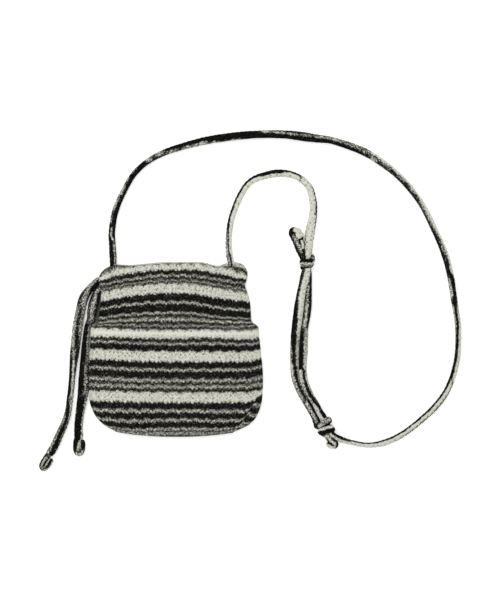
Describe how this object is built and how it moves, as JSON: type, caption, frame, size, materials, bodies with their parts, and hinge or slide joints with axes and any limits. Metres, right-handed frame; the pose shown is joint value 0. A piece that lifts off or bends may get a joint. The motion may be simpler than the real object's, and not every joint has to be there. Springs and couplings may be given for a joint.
{
  "type": "knitted drawstring shoulder bag",
  "caption": "Small knitted shoulder bag lying flat and empty: gathered drawcord casing, a front pocket, and a long knitted strap shortened by two sliding knots.",
  "frame": {"origin": "on the floor, under the middle of the bag's own outline without its strap and drawcord", "axes": "+X to the wearer's left hand side of the front, that is to the right as the front is looked at; +Y up the bag from its bottom to its mouth; +Z out of the front, away from the floor the back lies on"},
  "size_m": [0.4641, 0.3731, 0.0217],
  "materials": {
    "back_knit": "matt striped knit",
    "front_knit": "matt striped knit",
    "pocket_knit": "matt striped knit",
    "strap_knit": "matt knitted tube",
    "drawcord_knit": "matt knitted tube"
  },
  "bodies": {
    "root": {"back_panel": "back_knit", "front_panel": "front_knit", "front_pocket": "pocket_knit", "strap_long": "strap_knit", "strap_short": "strap_knit", "upper_knot": "strap_knit", "lower_knot": "strap_knit", "upper_turned_end": "strap_knit", "lower_turned_end": "strap_knit", "drawcord_outer": "drawcord_knit", "drawcord_inner": "drawcord_knit", "outer_turned_end": "drawcord_knit", "inner_turned_end": "drawcord_knit"}
  },
  "joints": []
}
